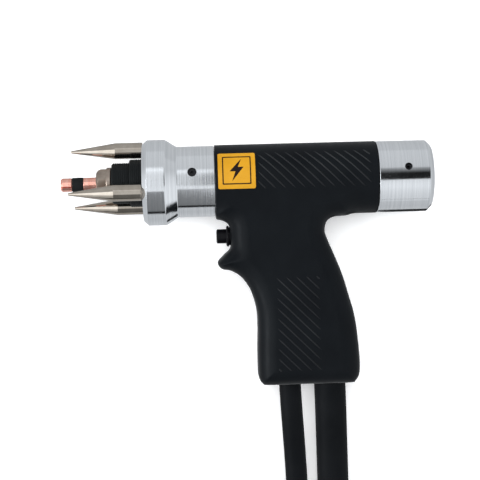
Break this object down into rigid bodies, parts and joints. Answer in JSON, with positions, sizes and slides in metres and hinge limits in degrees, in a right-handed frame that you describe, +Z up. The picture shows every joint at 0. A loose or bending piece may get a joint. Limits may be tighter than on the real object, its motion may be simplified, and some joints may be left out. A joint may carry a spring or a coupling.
{
  "type": "stud welding gun",
  "caption": "Pistol-grip stud welding gun lying on its side: tripod nose with collet, moulded T-shaped housing, push-button trigger, and two coiled cables with plugs.",
  "frame": {"origin": "the middle of the underside of the gun's box, on the surface that the gun lies on; the cables aren't counted", "axes": "+X from the muzzle towards the rear cap, along the gun as it lies; +Y away from the grip's butt; +Z up from the surface, which is the gun's left side. The barrel's own axis is tilted down to the rear by 1.57 degrees and the gun is rolled by 2.2 degrees, because it rests on its flange, rear cap and butt."},
  "size_m": [0.3723, 0.423, 0.0913],
  "materials": {
    "turned_aluminium": "turned and brushed, fine lines around the axis",
    "nickel_leg": "polished nickel plate",
    "nut_metal": "satin nickel plate, slightly browned",
    "copper": "bare machined copper alloy, slightly oxidised",
    "steel": "satin",
    "brass": "machined",
    "housing_plastic": "fine moulded texture, satin",
    "black_plastic": "semi-gloss",
    "moulded_rubber": "matt moulded rubber",
    "cable_jacket": "matt rubber jacket, slightly dusty",
    "insulating_tube": "resin-bonded laminate",
    "copper_winding": "enamelled copper wire and braid",
    "badge_plate": "printed plate, amber with a dark frame",
    "nickel_ring": "knurled nickel plate",
    "strap": "woven hook-and-loop strap"
  },
  "bodies": {
    "gun_body": {"nose_body": "turned_aluminium", "leg_1": "nickel_leg", "leg_2": "nickel_leg", "leg_3": "nickel_leg", "nose_set_screw_1": "steel", "nose_set_screw_2": "steel", "nose_set_screw_3": "steel", "bellows": "moulded_rubber", "front_bush": "insulating_tube", "guide_tube": "insulating_tube", "rear_bush": "insulating_tube", "lift_coil": "copper_winding", "core_plug": "steel", "main_spring": "steel", "rear_cap": "turned_aluminium", "cap_set_screw_1": "steel", "cap_set_screw_2": "steel", "cap_set_screw_3": "steel", "housing_left": "housing_plastic", "housing_right": "housing_plastic", "housing_screw_1": "steel", "housing_screw_2": "steel", "housing_screw_3": "steel", "housing_screw_4": "steel", "housing_screw_5": "steel", "badge": "badge_plate", "trigger_collar": "black_plastic", "trigger_spring": "steel", "trigger_switch": "black_plastic", "cable_clamp": "black_plastic", "cable_clamp_screw": "steel", "weld_cable_bush": "moulded_rubber", "control_cable_bush": "moulded_rubber", "inner_weld_lead": "copper_winding", "inner_control_lead": "cable_jacket", "weld_cable_lead": "cable_jacket", "weld_cable_coil": "cable_jacket", "weld_cable_tail": "cable_jacket", "weld_plug_sleeve": "moulded_rubber", "weld_plug_contact": "brass", "control_cable_lead": "cable_jacket", "control_cable_coil": "cable_jacket", "control_cable_tail": "cable_jacket", "control_plug_body": "black_plastic", "control_plug_ring": "nickel_ring", "weld_coil_tie_1": "strap", "weld_coil_tie_2": "strap", "control_coil_tie_1": "strap", "control_coil_tie_2": "strap"},
    "spindle": {"spindle": "steel", "collet": "copper", "collet_band": "moulded_rubber", "stud_stop": "steel", "weld_lug": "copper", "lug_screw": "steel", "armature": "steel"},
    "chuck_nut": {"chuck_nut": "nut_metal"},
    "spring_seat": {"spring_seat": "brass"},
    "spring_adjuster": {"spring_adjuster": "brass"},
    "trigger": {"trigger_button": "black_plastic"}
  },
  "joints": [
    {"name": "spindle_lift", "type": "slide", "parent": "gun_body", "child": "spindle", "axis": [0.9996, 0, -0.0275], "range_m": [0, 0.007], "stiffness_N_per_m": 2500, "springref_m": -0.006, "deforming": ["main_spring", "bellows", "inner_weld_lead"]},
    {"name": "chuck_nut_turn", "type": "hinge", "parent": "spindle", "child": "chuck_nut", "pos_m": [-0.08017, 0.04615, 0.02518], "axis": [0.9996, 0, -0.0275], "continuous": true},
    {"name": "spring_adjuster_turn", "type": "hinge", "parent": "gun_body", "child": "spring_adjuster", "pos_m": [0.09877, 0.04615, 0.02026], "axis": [0.9996, 0, -0.0275], "range_deg": [0, 1080]},
    {"name": "spring_seat_slide", "type": "slide", "parent": "gun_body", "child": "spring_seat", "axis": [-0.9996, 0, 0.0275], "range_m": [0, 0.0046]},
    {"name": "trigger_press", "type": "slide", "parent": "gun_body", "child": "trigger", "axis": [0.9996, 0, -0.0275], "range_m": [0, 0.003], "stiffness_N_per_m": 900, "springref_m": -0.002, "deforming": ["trigger_spring"]}
  ],
  "couplings": [
    {"joint": "spring_seat_slide", "follows": "spring_adjuster_turn", "m_per_rad": 0.00023873}
  ]
}
